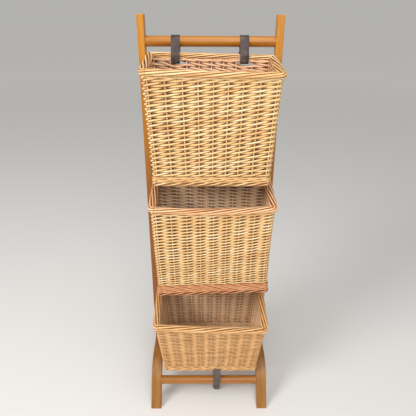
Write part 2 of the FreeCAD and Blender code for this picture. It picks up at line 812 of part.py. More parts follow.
rung_levels = [size(height) for height in rung_heights]
baskets = [Basket("upper", rung_levels[0], rung_levels[1]),
           Basket("middle", rung_levels[1], rung_levels[2]),
           Basket("bottom", rung_levels[2], None)]
for basket in baskets:
    prefix = basket.name + "_basket_"
    loop = hanging_loop(basket)
    floor, waling = basket.floor(), basket.waling()
    if basket.name == "bottom":
        tie = tie_loop(basket)
        tie_x = size("tie_shift") + basket.shift
        turn_room, buckle_room = tie_clearance(tie, tie_x)
        floor = floor.cut(turn_room).cut(buckle_room)
        waling = waling.cut(turn_room)
    nodes.append(shape_node(prefix + "base", floor))
    nodes.append(shape_node(prefix + "foot_border", basket.foot_border()))
    nodes.append(shape_node(prefix + "waling", waling))
    nodes.append(shape_node(prefix + "siding", basket.siding()))
    nodes.append(shape_node(prefix + "border", basket.border()))
    for x, side in zip(strap_places, (-1, 1)):
        hand = basket.name + "_" + side_name(side) + "_"
        loose = basket.name == "upper" and side > 0
        swing = size("loose_tail_swing") if loose else 0
        nodes.append(shape_node(hand + "strap", loop.strap(x, size("tail_length"), swing)))
        nodes.append(shape_node(hand + "buckle", loop.frame(x)))
        nodes.append(shape_node(hand + "prong", loop.prong(x)))
    rivets = Part.makeCompound([loop.rivet(x) for x in strap_places])
    nodes.append(shape_node(basket.name + "_strap_rivets", rivets))
nodes.append(shape_node("tie_strap", tie.strap(tie_x, size("tie_tail_length"), 0)))
nodes.append(shape_node("tie_buckle", tie.frame(tie_x)))
nodes.append(shape_node("tie_prong", tie.prong(tie_x)))
nodes.append(shape_node("tie_rivet", tie.rivet(tie_x)))
doc.recompute()

for feature in doc.Objects:
    if "Invalid" in feature.State or "Error" in feature.State:
        raise RuntimeError(f"{feature.Label} did not build: {feature.State}")
for node in nodes:
    if node.Shape.isNull() or not node.Shape.isValid() or not node.Shape.Solids:
        raise RuntimeError(f"{node.Label} has no valid solid")
os.makedirs("parts", exist_ok=True)
for node in nodes:
    node.Shape.exportStep(f"parts/{node.Label}.step")
    print(node.Label, len(node.Shape.Solids), round(node.Shape.Volume))
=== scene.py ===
import bpy
import bmesh
import math
import random
import numpy as np
from mathutils import Matrix, Vector, noise


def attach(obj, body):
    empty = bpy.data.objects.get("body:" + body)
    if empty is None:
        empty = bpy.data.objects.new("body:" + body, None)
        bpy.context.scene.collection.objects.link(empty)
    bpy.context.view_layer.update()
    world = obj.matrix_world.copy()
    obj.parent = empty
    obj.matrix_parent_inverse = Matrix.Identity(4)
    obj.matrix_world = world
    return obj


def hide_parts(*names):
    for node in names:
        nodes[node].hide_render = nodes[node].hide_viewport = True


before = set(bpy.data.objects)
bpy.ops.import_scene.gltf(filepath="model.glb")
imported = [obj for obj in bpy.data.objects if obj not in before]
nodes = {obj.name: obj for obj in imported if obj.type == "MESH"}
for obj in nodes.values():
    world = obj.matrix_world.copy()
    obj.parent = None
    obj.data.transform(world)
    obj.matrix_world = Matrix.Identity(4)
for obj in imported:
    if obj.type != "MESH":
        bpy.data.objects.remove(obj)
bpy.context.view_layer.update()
print("stage: packed model loaded")


# the viewer's eye

viewer = {
    "place": (-0.0157, -1.304, 1.3046),
    "yaw": -0.47,
    "pitch": 24.98,
    "roll": -0.29,
    "lens": 36.0,
    "sensor": 36.0,
    "near": 0.01,
}


def aimCamera(values):
    yaw, pitch, roll = (math.radians(values[key]) for key in ("yaw", "pitch", "roll"))
    ahead = Vector((-math.sin(yaw) * math.cos(pitch), math.cos(yaw) * math.cos(pitch),
                    -math.sin(pitch)))
    level = Vector((math.cos(yaw), math.sin(yaw), 0))
    down = ahead.cross(level)
    right = level * math.cos(roll) + down * math.sin(roll)
    below = down * math.cos(roll) - level * math.sin(roll)
    lens = bpy.data.cameras.new("viewer")
    lens.lens = values["lens"]
    lens.sensor_width = values["sensor"]
    lens.clip_start = values["near"]
    eye = bpy.data.objects.new("viewer", lens)
    bpy.context.scene.collection.objects.link(eye)
    turn = Matrix((right, -below, -ahead)).transposed().to_4x4()
    eye.matrix_world = Matrix.Translation(values["place"]) @ turn
    bpy.context.scene.camera = eye


aimCamera(viewer)
bpy.context.scene.view_settings.view_transform = "Standard"
print("stage: camera placed")


# shader maths
class Wire:
    # one socket, with the sums that the materials use
    def __init__(self, net, socket):
        self.net = net
        self.socket = socket

    def joined(self, operation, first, second):
        return self.net.add("ShaderNodeMath", {"operation": operation}, {0: first, 1: second})

    def __add__(self, other):
        return self.joined("ADD", self, other)

    def __sub__(self, other):
        return self.joined("SUBTRACT", self, other)

    def __rsub__(self, other):
        return self.joined("SUBTRACT", other, self)

    def __mul__(self, other):
        return self.joined("MULTIPLY", self, other)

    __radd__ = __add__
    __rmul__ = __mul__


class Net:
    # the nodes of one material or world
    def __init__(self, holder):
        self.holder = holder
        holder.use_nodes = True
        self.tree = holder.node_tree
        self.tree.nodes.clear()

    def add(self, kind, settings, sockets, output=0):
        node = self.tree.nodes.new(kind)
        for key, value in settings.items():
            if key == "stops":
                self.fillRamp(node.color_ramp, value)
            else:
                setattr(node, key, value)
        for key, value in sockets.items():
            if isinstance(value, Wire):
                self.tree.links.new(value.socket, node.inputs[key])
            else:
                node.inputs[key].default_value = value
        return Wire(self, node.outputs[output]) if node.outputs else node

    def fillRamp(self, ramp, stops):
        while len(ramp.elements) < len(stops):
            ramp.elements.new(0.5)
        for element, (place, colour) in zip(ramp.elements, stops):
            element.position = place
            element.color = colour

    def place(self, stretch=(1, 1, 1)):
        spot = self.add("ShaderNodeTexCoord", {}, {}, "Object")
        return self.add("ShaderNodeMapping", {}, {"Vector": spot, "Scale": stretch})

    def speckle(self, vector, scale, detail=3.0, rough=0.55):
        return self.add("ShaderNodeTexNoise", {}, {"Vector": vector, "Scale": scale,
                                                   "Detail": detail, "Roughness": rough})

    def mixed(self, factor, first, second):
        return self.add("ShaderNodeMix", {"data_type": "RGBA"},
                        {0: factor, 6: first, 7: second}, 2)

    def ranged(self, value, low, high, newLow=0.0, newHigh=1.0):
        return self.add("ShaderNodeMapRange", {}, {0: value, 1: low, 2: high, 3: newLow,
                                                   4: newHigh})

    def bumped(self, height, strength, distance):
        return self.add("ShaderNodeBump", {}, {"Strength": strength, "Distance": distance,
                                               "Height": height})

    def finish(self, sockets):
        surface = self.add("ShaderNodeBsdfPrincipled", {}, sockets)
        self.add("ShaderNodeOutputMaterial", {}, {"Surface": surface})
        return self.holder


def seen(red, green, blue):
    # a colour as it looks on screen, 0 to 255, made linear
    def straight(part):
        part /= 255
        return part / 12.92 if part <= 0.04045 else ((part + 0.055) / 1.055) ** 2.4
    return (straight(red), straight(green), straight(blue), 1)


# peeled willow: a tone along every rod, painted shade in the hollows and along each rod's top and
# bottom edges, and dust on the inner faces that is partly real dust and partly painted light for
# the shaded insides
willowGrain = {
    "patches": {"scale": 34.0, "detail": 2.0},
    "flecks": {"scale": 420.0, "rough": 0.65},
    "stains": {"scale": 95.0, "detail": 4.0, "rough": 0.6},
    "toneShare": 0.7, "patchShare": 0.36, "fleckShare": 0.16, "levels": (0.25, 1.0),
    "stainLevels": (0.6, 0.74), "dustLevels": (0.4, 0.9), "sheen": 0.24, "sheenDrop": 0.1,
    "bump": 0.3, "bumpDepth": 0.0006,
}
# each kind's darkest colour is the painted shade in the hollows and along the rods' edges; edge is
# how strongly that painted shade darkens each rod's top and bottom
willows = {
    "light": {"deep": seen(220, 160, 94), "main": seen(250, 206, 140), "pale": seen(255, 242, 200),
              "stain": seen(200, 128, 68), "stained": 0.3, "paintedShade": seen(88, 38, 12),
              "dust": seen(240, 188, 148), "dusty": 0.85, "rough": 0.36, "edge": 0.76},
    "bound": {"deep": seen(208, 146, 82), "main": seen(240, 192, 126), "pale": seen(254, 234, 184),
              "stain": seen(196, 124, 66), "stained": 0.3, "paintedShade": seen(104, 50, 18),
              "dust": seen(246, 204, 172), "dusty": 0.85, "rough": 0.36, "edge": 0.9},
    "pink": {"deep": seen(208, 140, 90), "main": seen(242, 178, 122), "pale": seen(255, 218, 168),
             "stain": seen(184, 108, 68), "stained": 0.35, "paintedShade": seen(92, 38, 16),
             "dust": seen(236, 186, 156), "dusty": 0.8, "rough": 0.4, "edge": 0.85},
    "clay": {"deep": seen(186, 114, 68), "main": seen(222, 152, 98), "pale": seen(246, 198, 148),
             "stain": seen(170, 94, 52), "stained": 0.4, "paintedShade": seen(76, 28, 10),
             "dust": seen(228, 172, 136), "dusty": 0.8, "rough": 0.42, "edge": 1.0},
    "brown": {"deep": seen(210, 148, 84), "main": seen(240, 186, 120), "pale": seen(252, 218, 164),
              "stain": seen(190, 124, 70), "stained": 0.35, "paintedShade": seen(106, 56, 24),
              "dust": seen(255, 220, 176), "dusty": 0.85, "rough": 0.44, "edge": 0.75},
}
# honey is the light willow with a paler dust on the inner faces: painted light for the middle
# basket's shaded inside
willows["honey"] = dict(willows["light"], dust=seen(255, 218, 178))


def willowMaterial(name, values, grain):
    net = Net(bpy.data.materials.new(name))
    tone = net.add("ShaderNodeAttribute", {"attribute_name": "tone"}, {}, "Fac")
    inner = net.add("ShaderNodeAttribute", {"attribute_name": "inner"}, {}, "Fac")
    hollow = net.add("ShaderNodeAttribute", {"attribute_name": "hollow"}, {}, "Fac")
    spot = net.place()
    patches = net.speckle(spot, **grain["patches"])
    flecks = net.speckle(spot, **grain["flecks"])
    level = net.ranged(tone * grain["toneShare"] + patches * grain["patchShare"] +
                       flecks * grain["fleckShare"], *grain["levels"])
    body = net.add("ShaderNodeValToRGB", {"stops": [(0.0, values["deep"]), (0.5, values["main"]),
                                                    (1.0, values["pale"])]}, {0: level})
    stains = net.ranged(net.speckle(spot, **grain["stains"]), *grain["stainLevels"])
    stained = net.mixed(stains * values["stained"], body, values["stain"])
    # dust on the inner faces: partly real dust and partly painted light, paler than the willow on
    # the bottom and middle baskets to lift their shaded insides
    dusty = net.ranged(inner, *grain["dustLevels"]) * values["dusty"]
    dustedAndLit = net.mixed(dusty, stained, values["dust"])
    # painted shade: each rod darkens along its top and bottom edges, where the rows beside it
    # shade it, and in the hollows where it dips into the weave
    side = inner * (1 - inner) * 4
    colour = net.mixed(side * side * values["edge"] + hollow, dustedAndLit, values["paintedShade"])
    rough = flecks * grain["sheen"] + (values["rough"] - grain["sheenDrop"])
    return net.finish({"Base Color": colour, "Roughness": rough,
                       "Normal": net.bumped(flecks, grain["bump"], grain["bumpDepth"])})


# turned and sawn hardwood under a worn honey varnish, darker through each piece's "heights" band:
# on the posts this is painted shade, darker lower down where the baskets shade them; the dowels go
# darker and duller near the floor and the feet darker towards their tops
timberGrain = {
    "bands": {"scale": 7.0, "detail": 4.0, "rough": 0.6},
    "fibres": {"scale": 60.0, "detail": 5.0, "rough": 0.7},
    "marks": {"scale": 26.0, "detail": 5.0, "rough": 0.7},
    "bandShare": 0.6, "fibreShare": 0.4, "stops": (0.28, 0.5, 0.74), "markLevels": (0.6, 0.75),
    "markShare": 0.5, "markSheen": 0.2, "fibreSheen": 0.14, "sheenDrop": 0.06, "bump": 0.14,
    "bumpDepth": 0.0008, "coatRough": 0.28,
}
timbers = {
    # on the posts the darker colour for low heights is painted shade, where the baskets shade them
    "post": {"stretch": (9, 9, 0.55), "dark": seen(148, 84, 6), "main": seen(187, 120, 10),
             "pale": seen(206, 145, 30), "worn": seen(144, 90, 38), "rough": 0.42, "coat": 0.15,
             "heightDark": seen(142, 80, 6), "heights": (1.12, 0.72), "heightDarkShare": 0.9},
    "dowel": {"stretch": (0.7, 12, 12), "dark": seen(132, 74, 6), "main": seen(170, 104, 12),
              "pale": seen(190, 130, 34), "worn": seen(130, 84, 38), "rough": 0.38, "coat": 0.18,
              "heightDark": seen(150, 98, 44), "heights": (0.5, 0.2), "heightDarkShare": 0.4},
    "foot": {"stretch": (10, 2.2, 1.0), "dark": seen(116, 72, 22), "main": seen(153, 101, 36),
             "pale": seen(172, 124, 56), "worn": seen(146, 106, 78), "rough": 0.5, "coat": 0.1,
             "heightDark": seen(100, 56, 18), "heights": (0.17, 0.3), "heightDarkShare": 0.7},
}


def timberMaterial(name, values, grain):
    net = Net(bpy.data.materials.new(name))
    along = net.place(values["stretch"])
    bands = net.speckle(along, **grain["bands"])
    fibres = net.speckle(along, **grain["fibres"])
    stops = zip(grain["stops"], (values["dark"], values["main"], values["pale"]))
    body = net.add("ShaderNodeValToRGB", {"stops": list(stops)},
                   {0: bands * grain["bandShare"] + fibres * grain["fibreShare"]})
    marks = net.ranged(net.speckle(net.place(), **grain["marks"]), *grain["markLevels"])
    marked = net.mixed(marks * grain["markShare"], body, values["worn"])
    # darkening by height: painted shade lower down on the posts; on the dowels and feet only a
    # darkening by height
    height = net.add("ShaderNodeSeparateXYZ", {}, {0: net.place()}, "Z")
    colour = net.mixed(net.ranged(height, *values["heights"]) * values["heightDarkShare"], marked,
                       values["heightDark"])
    rough = (marks * grain["markSheen"] + fibres * grain["fibreSheen"] +
             (values["rough"] - grain["sheenDrop"]))
    return net.finish({"Base Color": colour, "Roughness": rough,
                       "Normal": net.bumped(fibres, grain["bump"], grain["bumpDepth"]),
                       "Coat Weight": values["coat"], "Coat Roughness": grain["coatRough"]})


# waxed strap leather, creased and dusty, the more so the lower it hangs
leathers = {
    "dark": seen(42, 29, 24), "main": seen(74, 57, 51), "dusty": seen(136, 118, 110),
    "pores": 900.0, "cloud": {"scale": 45.0, "detail": 4.0, "rough": 0.6},
    "creaseStretch": (0.5, 1.6, 3.0), "creases": {"scale": 130.0, "detail": 4.0, "rough": 0.7},
    "cloudLevels": (0.35, 0.7), "cloudShare": 0.5, "creaseShare": 0.5, "dustLevels": (0.5, 0.68),
    "dustShare": 0.5, "lowDust": (0.5, 0.1, -0.1, 0.3), "rough": 0.5, "sheen": 0.25,
    "sheenDrop": 0.05, "poreShare": 0.5, "bump": 0.35, "bumpDepth": 0.0006,
}


def leatherMaterial(name, values):
    net = Net(bpy.data.materials.new(name))
    spot = net.place()
    pores = net.add("ShaderNodeTexVoronoi", {}, {"Vector": spot, "Scale": values["pores"]},
                    "Distance")
    cloud = net.speckle(spot, **values["cloud"])
    creases = net.speckle(net.place(values["creaseStretch"]), **values["creases"])
    body = net.mixed(net.ranged(cloud, *values["cloudLevels"]), values["dark"], values["main"])
    height = net.add("ShaderNodeSeparateXYZ", {}, {0: spot}, "Z")
    dust = net.ranged(cloud * values["cloudShare"] + creases * values["creaseShare"],
                      *values["dustLevels"])
    dusty = dust * values["dustShare"] + net.ranged(height, *values["lowDust"])
    colour = net.mixed(dusty, body, values["dusty"])
    rough = dust * values["sheen"] + (values["rough"] - values["sheenDrop"])
    relief = pores * values["poreShare"] + creases
    return net.finish({"Base Color": colour, "Roughness": rough,
                       "Normal": net.bumped(relief, values["bump"], values["bumpDepth"])})


# aged nickel on the buckles, rivets and screws
metals = {
    "dull": seen(150, 146, 138), "bright": seen(206, 202, 194),
    "cloud": {"scale": 160.0, "detail": 4.0, "rough": 0.65}, "cloudLevels": (0.35, 0.7),
    "scratchStretch": (1, 6, 1), "scratches": {"scale": 500.0, "detail": 2.0},
    "rough": 0.34, "sheen": 0.3, "sheenDrop": 0.15, "bump": 0.12, "bumpDepth": 0.0002,
}


def metalMaterial(name, values):
    net = Net(bpy.data.materials.new(name))
    cloud = net.speckle(net.place(), **values["cloud"])
    scratches = net.speckle(net.place(values["scratchStretch"]), **values["scratches"])
    colour = net.mixed(net.ranged(cloud, *values["cloudLevels"]), values["dull"], values["bright"])
    rough = cloud * values["sheen"] + (values["rough"] - values["sheenDrop"])
    return net.finish({"Base Color": colour, "Metallic": 1.0, "Roughness": rough,
                       "Normal": net.bumped(scratches, values["bump"], values["bumpDepth"])})


willow = {key: willowMaterial("willow_" + key, values, willowGrain)
          for key, values in willows.items()}
timber = {key: timberMaterial("timber_" + key, values, timberGrain)
          for key, values in timbers.items()}
leather = leatherMaterial("strap_leather", leathers)
metal = metalMaterial("buckle_steel", metals)
print("stage: materials made")


def dress(names, material):
    for name in names:
        mesh = nodes[name].data
        mesh.materials.clear()
        mesh.materials.append(material)


dress(["left_post", "right_post"], timber["post"])
dress(["left_foot", "right_foot"], timber["foot"])
dress(["upper_rung", "middle_rung", "lower_rung", "front_foot_rung", "rear_foot_rung"],
      timber["dowel"])
dress([name for name in nodes if name.endswith(("buckle", "prong", "rivets", "rivet", "screws"))],
      metal)
print("stage: frame and metal dressed")


# straps, each a copy of its solid with its edges rubbed round; angles in degrees
rubbed = {"merge": 1e-6, "flat": 0.5, "sharp": 50, "round": 0.0005, "rings": 2, "smooth": 40}


def strapPiece(name, body):
    sheet = bmesh.new()
    sheet.from_mesh(nodes[name].data)
    sheet.transform(nodes[name].matrix_world)
    bmesh.ops.remove_doubles(sheet, verts=sheet.verts, dist=rubbed["merge"])
    bmesh.ops.dissolve_limit(sheet, angle_limit=math.radians(rubbed["flat"]),
                             verts=sheet.verts, edges=sheet.edges)
    sharp = [edge for edge in sheet.edges if edge.is_manifold and
             edge.calc_face_angle() > math.radians(rubbed["sharp"])]
    bmesh.ops.bevel(sheet, geom=sharp, offset=rubbed["round"], segments=rubbed["rings"],
                    profile=0.5, affect="EDGES", clamp_overlap=True)
    bmesh.ops.recalc_face_normals(sheet, faces=sheet.faces)
    for face in sheet.faces:
        face.smooth = True
    mesh = bpy.data.meshes.new(name + "_leather")
    sheet.to_mesh(mesh)
    sheet.free()
    mesh.set_sharp_from_angle(angle=math.radians(rubbed["smooth"]))
    mesh.materials.append(leather)
    piece = bpy.data.objects.new(name + "_leather", mesh)
    bpy.context.scene.collection.objects.link(piece)
    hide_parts(name)
    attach(piece, body)


for name in [name for name in nodes if name.endswith("strap")]:
    body = name.split("_")[0] + "_basket"
    strapPiece(name, body if body in ("upper_basket", "middle_basket") else "stand")
print("stage: straps rubbed")


# willow work
class Level:
    # a tilted plane across a basket: u to the right, v forwards down its fall, w square to it
    def __init__(self, back, reach, fall):
        self.back = Vector(back)
        self.length = math.hypot(reach, fall)
        self.forward = Vector((0, -reach, -fall)) / self.length
        self.up = Vector((0, -fall, reach)) / self.length

    def point(self, u, v, w):
        return self.back + Vector((u, 0, 0)) + self.forward * v + self.up * w

    def local(self, point):
        gap = point - self.back
        return gap.dot(self.forward), gap.dot(self.up)


# walls in the order front, right, back, left: the way along, the way out, as (u, v)
wallRuns = ((1, 0), (0, -1), (-1, 0), (0, 1))
wallFaces = ((0, 1), (1, 0), (0, -1), (-1, 0))


class Outline:
    # a rounded rectangle on a level, walked in stakes
    def __init__(self, level, halfWidth, back, front, w, corner, plan):
        self.level = level
        self.w = w
        self.corner = corner
        self.plan = plan
        self.starts = ((-halfWidth, front), (halfWidth, front), (halfWidth, back),
                       (-halfWidth, back))
        self.lengths = (2 * halfWidth, front - back) * 2

    def spot(self, t):
        # the place and the way out at stake number t
        wall, along = self.plan.walk(t, self.lengths)
        length, corner = self.lengths[wall], self.corner
        if along < corner:
            return self.rounded((wall - 1) % 4, 0.5 + along / corner / 2)
        if along > length - corner:
            return self.rounded(wall, 0.5 - (length - along) / corner / 2)
        run, face, start = wallRuns[wall], wallFaces[wall], self.starts[wall]
        return self.made(start[0] + run[0] * along, start[1] + run[1] * along, face)

    def rounded(self, wall, share):
        # share goes round the corner that ends this wall
        run, face, after = wallRuns[wall], wallFaces[wall], wallFaces[(wall + 1) % 4]
        end = self.starts[(wall + 1) % 4]
        cos, sin = math.cos(share * math.pi / 2), math.sin(share * math.pi / 2)
        out = (face[0] * cos + after[0] * sin, face[1] * cos + after[1] * sin)
        return self.made(end[0] - self.corner * (run[0] + face[0] - out[0]),
                         end[1] - self.corner * (run[1] + face[1] - out[1]), out)

    def made(self, u, v, out):
        return (self.level.point(u, v, self.w),
                Vector((out[0], 0, 0)) + self.level.forward * out[1])


class Plan:
    # where the stakes stand on each wall, as shares, and the first one's setback
    def __init__(self, setback, frontShares, sideShares, backShares):
        self.setback = setback
        self.shares = (frontShares, sideShares, backShares, sideShares)
        self.total = sum(len(row) for row in self.shares)

    def walk(self, t, lengths):
        t %= self.total
        for wall, shares in enumerate(self.shares):
            last = len(shares) - 1
            if t <= last:
                index = min(int(t), last - 1)
                share = shares[index] + (shares[index + 1] - shares[index]) * (t - index)
                return wall, self.setback + share * (lengths[wall] - 2 * self.setback)
            if t < last + 1:
                past = self.setback * (2 * (t - last) - 1)
                if past < 0:
                    return wall, lengths[wall] + past
                return (wall + 1) % 4, past
            t -= last + 1
        return 0, self.setback


# how far a rod's tone strays, and how strongly painted shade darkens its hidden side
rods = {"toneJitter": 0.15, "toneDrift": 0.24, "driftScale": 17, "driftShift": 90,
        "hollowGain": 1.2, "hollowPower": 2.6}


class RodPile:
    # rods as swept curves, turned into one mesh that knows its tone, its inner side and the
    # painted shade in its hollows
    def __init__(self, name, basket, seed):
        self.name = name
        self.basket = basket
        self.random = random.Random(seed)
        self.curve = bpy.data.curves.new(name, "CURVE")
        self.curve.dimensions = "3D"
        self.curve.bevel_depth = 1.0
        self.curve.bevel_resolution = 1
        self.curve.use_fill_caps = False
        self.tones, self.places, self.ways, self.radii, self.depths = [], [], [], [], []

    def lay(self, spots, radii, tone, depths=None):
        # spots are places with their way out, depths run from -1 outside to 1 inside the wall
        if len(spots) < 2:
            return
        places = [self.basket.settled(place) for place, out in spots]
        spline = self.curve.splines.new("POLY")
        spline.points.add(len(places) - 1)
        spline.points.foreach_set("co", [part for place in places for part in (*place, 1)])
        spline.points.foreach_set("radius", radii)
        spline.use_smooth = True
        mine = tone + self.random.uniform(-rods["toneJitter"], rods["toneJitter"])
        shift = Vector((mine * rods["driftShift"], 0, 0))
        self.tones += [mine + rods["toneDrift"] * noise.noise(place * rods["driftScale"] + shift)
                       for place in places]
        self.places += places
        self.ways += [out for place, out in spots]
        self.radii += radii
        self.depths += depths or [0] * len(places)

    def woven(self, material):
        holder = bpy.data.objects.new(self.name, self.curve)
        bpy.context.scene.collection.objects.link(holder)
        graph = bpy.context.evaluated_depsgraph_get()
        mesh = bpy.data.meshes.new_from_object(holder.evaluated_get(graph))
        bpy.data.objects.remove(holder)
        ring = len(mesh.vertices) // len(self.places)
        corners = np.empty(len(mesh.vertices) * 3)
        mesh.vertices.foreach_get("co", corners)
        middles, ways, radii, depths, tones = (
            np.repeat(np.array(row), ring, axis=0)
            for row in (self.places, self.ways, self.radii, self.depths, self.tones))
        # painted shade in the hollows: a rod's outer face darkens where the rod dips inwards, and
        # its inner face where it bulges outwards, by the basket's outside and inside strengths
        facing = np.sum((corners.reshape(-1, 3) - middles) * ways, axis=1) / radii
        outside, inside = self.basket.values["hollow"]
        behind = rods["hollowGain"] * np.maximum(facing * depths, 0) ** rods["hollowPower"]
        deep = np.clip(behind * np.where(facing < 0, inside, outside), 0, 1)
        for label, numbers in (("tone", tones), ("inner", 0.5 - 0.5 * facing), ("hollow", deep)):
            attribute = mesh.attributes.new(label, "FLOAT", "POINT")
            attribute.data.foreach_set("value", numbers)
        shell = bmesh.new()
        shell.from_mesh(mesh)
        ends = [edge for edge in shell.edges if edge.is_boundary]
        bmesh.ops.holes_fill(shell, edges=ends, sides=ring)
        bmesh.ops.recalc_face_normals(shell, faces=shell.faces)
        shell.to_mesh(mesh)
        shell.free()
        mesh.materials.clear()
        mesh.materials.append(material)
        piece = bpy.data.objects.new(self.name, mesh)
        bpy.context.scene.collection.objects.link(piece)
        return piece


# what all baskets share, in metres: the bands, the stakes along each wall as shares of its
# length, and the open row, where the rods part round each strap
weave = {
    "border": 0.018, "borderDeep": 0.014, "overhang": 0.002,
    "footBorder": 0.012, "footBorderDeep": 0.010, "proud": 0.0015, "rimCorner": 0.013,
    "baseCorner": 0.013, "setback": 0.015, "floor": 0.010,
    "frontShares": [0, 0.135, 0.27, 0.39, 0.51, 0.625, 0.74, 0.87, 1],
    "sideShares": [0, 0.25, 0.5, 0.75, 1],
    "backShares": [0, 0.146, 0.286, 0.393, 0.5, 0.607, 0.714, 0.854, 1],
    "slotPlaces": (-0.102, 0.098), "slotDrop": 0.027, "slotHalf": 0.024, "slotPart": 0.0078,
    "slotReach": 0.013, "slotBays": 2.5, "waleStep": 0.0054, "waleLift": 0.0035,
    "sideGap": 0.001,
}

# "rim" and "base" are a level's back middle, its reach forwards and its fall, then half its
# width; bends are how far the rim's back and front rise from left to right, how far the rim
# leans forwards and outwards, and how far the base tips down to the left and bulges right
# painted shade: each basket's pair of hollow strengths darkens the rods' hollows on the wall's
# outer and inner faces
baskets = {
    "upper": {"body": "upper_basket", "seed": 11, "willow": "light", "rims": "bound",
              "feet": "bound",
              "rim": ((0.003, -0.019, 1.2026), 0.201, 0.0305, 0.185),
              "base": ((0.003, -0.0155, 0.8737), 0.1665, 0.0247, 0.1725),
              "bends": {"back": (0.005, -0.003), "front": (0.0085, 0.003, 0.001), "forwards": 0,
                        "outwards": 0, "tip": 0, "bulge": 0},
              "climb": (0.0066, 0.0066), "rod": 0.0035, "stake": 0.0026, "sway": 0.0029,
              "backSway": 0.4, "steps": 8, "lift": 0.013, "hollow": (1.0, 1.7), "wales": 3,
              "topWales": 1},
    "middle": {"body": "middle_basket", "seed": 23, "willow": "honey", "rims": "pink",
               "feet": "clay",
               "rim": ((0.007, -0.019, 0.8345), 0.207, 0.025, 0.1835),
               "base": ((0.007, -0.0155, 0.4896), 0.1815, 0.0126, 0.176),
               "bends": {"back": (0, 0), "front": (-0.007, -0.016, -0.005), "forwards": 0.002,
                         "outwards": 0, "tip": 0.008, "bulge": 0.009},
               "climb": (0.0045, 0.0061), "rod": 0.0028, "stake": 0.0023, "sway": 0.0024,
               "backSway": 0.7, "steps": 7, "lift": 0.008, "hollow": (2.2, 1.7), "wales": 5,
               "topWales": 1},
    "bottom": {"body": "stand", "seed": 37, "willow": "brown", "rims": "brown", "feet": "brown",
               "rim": ((0.004, -0.019, 0.4245), 0.214, 0.0475, 0.187),
               "base": ((0.004, 0.001, 0.185), 0.183, 0.059, 0.1685),
               "bends": {"back": (0, 0), "front": (0.003, -0.008, -0.010), "forwards": 0.006,
                         "outwards": -0.001, "tip": 0, "bulge": 0},
               "climb": (0.0043, 0.0043), "rod": 0.0023, "stake": 0.0020, "sway": 0.0018,
               "backSway": 0.75, "steps": 6, "lift": 0.0, "hollow": (0.6, 3.0), "wales": 2,
               "topWales": 2},
}


class Basket:
    # one basket's outlines, from the same sizes as its solids
    def __init__(self, values):
        self.values = values
        back, reach, fall, self.rimHalf = values["rim"]
        self.rim = Level(back, reach, fall)
        back, reach, fall, self.baseHalf = values["base"]
        self.base = Level(back, reach, fall)
        self.plan = Plan(weave["setback"], weave["frontShares"], weave["sideShares"],
                         weave["backShares"])
        backV, height = self.base.local(self.rim.point(0, 0, 0))
        frontV, frontHeight = self.base.local(self.rim.point(0, self.rim.length, 0))
        self.backGrowth = backV / height
        self.frontGrowth = (frontV - self.base.length) / frontHeight
        self.sideGrowth = (self.rimHalf - self.baseHalf) / ((height + frontHeight) / 2)
        self.height = height
        self.sideTop = (weave["footBorder"] + weave["sideGap"] +
                        values["wales"] * weave["waleStep"])

    def settled(self, place):
        # years of use bent the rim, and the bend fades out towards the base
        bends = self.values["bends"]
        share = min(max(self.base.local(place)[1] / self.height, 0), 1.1)
        across = (place.x - self.rim.back.x) / self.rimHalf
        ahead = min(max(self.rim.local(place)[0] / self.rim.length, 0), 1)
        left, right = bends["back"]
        back = (left + right + (right - left) * across) / 2
        left, middle, right = bends["front"]
        ends = (left * (across - 1) + right * (across + 1)) * across / 2
        front = ends + middle * (1 - across ** 2)
        top, low = share ** 1.5, max(1 - share, 0)
        rise = top * (back * (1 - ahead) + front * ahead) + low * bends["tip"] * across
        aside = top * bends["outwards"] * across + low ** 4 * bends["bulge"] * max(across, 0)
        return place + Vector((aside, -top * bends["forwards"] * ahead, rise))

    def baseOutline(self, w, inset):
        grow = w - weave["footBorder"]
        return Outline(self.base, self.baseHalf + self.sideGrowth * grow - inset,
                       self.backGrowth * grow + inset,
                       self.base.length + self.frontGrowth * grow - inset, w,
                       weave["baseCorner"] - inset, self.plan)

    def rimOutline(self, w, inset):
        return Outline(self.rim, self.rimHalf - inset, inset, self.rim.length - inset, w,
                       weave["rimCorner"] - inset, self.plan)


# rods rolled together into a rim or round a foot; "bays" is the stakes that a turn passes
ropes = {
    "rim": {"strands": 7, "turns": 3, "radius": 0.003, "swell": 0.005},
    "foot": {"strands": 3, "bays": 3, "radius": 0.0026, "swell": 0},
    "steps": 8, "loose": 0.12, "wobbleScales": (0.9, 7.3, 900), "reachWobble": 0.12,
    "outerGain": 0.12, "wobble": 0.1, "tones": (0.3, 0.72),
}


def rope(pile, outline, up, half, kind, turns):
    # strands that wind round a rounded band, up to the right on its outer face
    strands, radius, total = kind["strands"], kind["radius"], outline.plan.total
    alongScale, strandScale, radiusScale = ropes["wobbleScales"]
    for strand in range(strands):
        shift = pile.random.uniform(-ropes["loose"], ropes["loose"])
        spots, radii = [], []
        for step in range(total * ropes["steps"] + 1):
            t = step / ropes["steps"]
            loose = shift * math.sin(math.pi * t / total)
            turn = 2 * math.pi * (turns * t / total + (strand + loose) / strands)
            place, out = outline.spot(t)
            wobble = noise.noise(Vector((t * alongScale, strand * strandScale,
                                         radius * radiusScale)))
            side, rise = math.cos(turn), math.sin(turn)
            wide = half[0] + kind["swell"] * (1 - max(out.y, 0))
            reach = wide - radius * (1 - ropes["reachWobble"] * wobble)
            spots.append((place - out * (half[0] - reach * side) +
                          up * ((half[1] - radius) * rise), out * side + up * rise))
            radii.append(radius * (1 + ropes["outerGain"] * side + ropes["wobble"] * wobble))
        pile.lay(spots, radii, pile.random.uniform(*ropes["tones"]))


